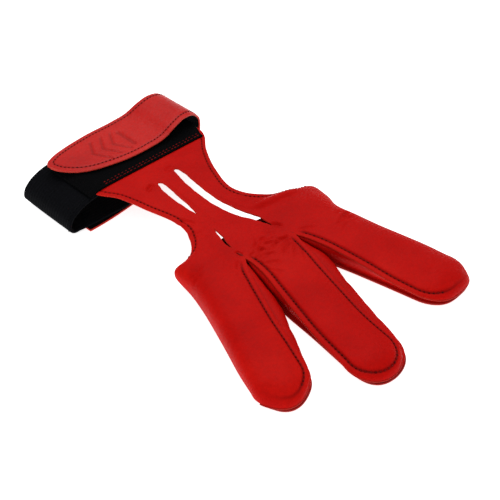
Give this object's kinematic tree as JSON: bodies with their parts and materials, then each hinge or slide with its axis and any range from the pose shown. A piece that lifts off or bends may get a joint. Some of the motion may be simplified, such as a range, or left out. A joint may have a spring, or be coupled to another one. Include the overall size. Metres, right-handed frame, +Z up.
{
  "type": "archery shooting glove",
  "caption": "Archery shooting glove lying palm down: leather finger stalls joined to a slotted back web, with an elastic wrist cuff closed by a hook-and-loop strap.",
  "frame": {"origin": "middle of the glove's bounding box, on the surface that it lies on palm down", "axes": "+Y from the wrist to the fingertips, +X towards the ring finger's side, +Z up, away from the palm"},
  "size_m": [0.125, 0.2018, 0.026],
  "materials": {
    "red_leather": "soft dyed leather, fine grain, low sheen",
    "palm_leather": "smooth dyed leather, low sheen",
    "strap_leather": "firm finished leather, satin",
    "black_elastic": "ribbed woven elastic, matte",
    "black_lining": "thin woven lining, matte",
    "loop_pile": "brushed loop pile, matte",
    "hook_tape": "woven tape with moulded hooks",
    "red_thread": "bonded sewing thread"
  },
  "bodies": {
    "cuff": {"wrist_elastic": "black_elastic", "cuff_back_leather": "red_leather", "loop_patch": "loop_pile", "under_strap_leather": "strap_leather", "under_strap_lining": "black_lining", "loop_patch_threads": "red_thread", "elastic_threads": "red_thread"},
    "strap_side": {"strap_side_leather": "strap_leather", "strap_side_lining": "black_lining"},
    "strap_tab": {"strap_tab_leather": "strap_leather", "hook_patch": "hook_tape", "tab_edge_thread": "red_thread"},
    "hand_web": {"web_panel": "red_leather", "web_index_edge_thread": "red_thread", "web_ring_edge_thread": "red_thread"},
    "index_tip": {"index_back_tip": "red_leather", "index_gusset_tip": "red_leather", "index_outer_side_tip": "red_leather", "index_palm_tip": "palm_leather", "index_tip_rim": "red_leather", "index_tip_seam_thread": "red_thread"},
    "middle_tip": {"middle_back_tip": "red_leather", "middle_index_gusset_tip": "red_leather", "middle_palm_tip": "palm_leather", "middle_ring_gusset_tip": "red_leather", "middle_tip_rim": "red_leather", "middle_tip_seam_thread": "red_thread"},
    "ring_tip": {"ring_back_tip": "red_leather", "ring_gusset_tip": "red_leather", "ring_outer_side_tip": "red_leather", "ring_palm_tip": "palm_leather", "ring_tip_rim": "red_leather", "ring_tip_seam_thread": "red_thread"},
    "finger_base": {"index_back_base": "red_leather", "index_gusset_base": "red_leather", "index_knuckle_side": "red_leather", "index_outer_side_base": "red_leather", "index_palm_base": "palm_leather", "knuckle_back": "red_leather", "middle_back_base": "red_leather", "middle_index_gusset_base": "red_leather", "middle_palm_base": "palm_leather", "middle_ring_gusset_base": "red_leather", "palm_lining": "black_lining", "palm_panel": "palm_leather", "ring_back_base": "red_leather", "ring_gusset_base": "red_leather", "ring_knuckle_side": "red_leather", "ring_outer_side_base": "red_leather", "ring_palm_base": "palm_leather", "stall_base_seam_threads": "red_thread"}
  },
  "joints": [
    {"name": "wrist_fold", "type": "hinge", "parent": "cuff", "child": "hand_web", "pos_m": [0.01061, -0.05909, 0.0178], "axis": [-0.9936, -0.1132, 0], "range_deg": [-30, 35]},
    {"name": "knuckle_fold", "type": "hinge", "parent": "hand_web", "child": "finger_base", "pos_m": [-0.00585, -0.00247, 0.0113], "axis": [-1, 0, 0], "range_deg": [0, 65]},
    {"name": "index_bend", "type": "hinge", "parent": "finger_base", "child": "index_tip", "pos_m": [-0.04251, 0.04763, 0], "axis": [-0.9588, -0.284, 0], "range_deg": [0, 75]},
    {"name": "middle_bend", "type": "hinge", "parent": "finger_base", "child": "middle_tip", "pos_m": [-0.00097, 0.05499, 0], "axis": [-0.9989, 0.0471, 0], "range_deg": [0, 75]},
    {"name": "ring_bend", "type": "hinge", "parent": "finger_base", "child": "ring_tip", "pos_m": [0.03375, 0.05011, 0], "axis": [-0.9744, 0.225, 0], "range_deg": [0, 75]},
    {"name": "strap_fold", "type": "hinge", "parent": "cuff", "child": "strap_side", "pos_m": [-0.01869, -0.08457, 0], "axis": [0.1132, -0.9936, 0], "range_deg": [0, 110]},
    {"name": "tab_peel", "type": "hinge", "parent": "strap_side", "child": "strap_tab", "pos_m": [-0.01869, -0.08457, 0.026], "axis": [0.1132, -0.9936, 0], "range_deg": [0, 100]}
  ]
}
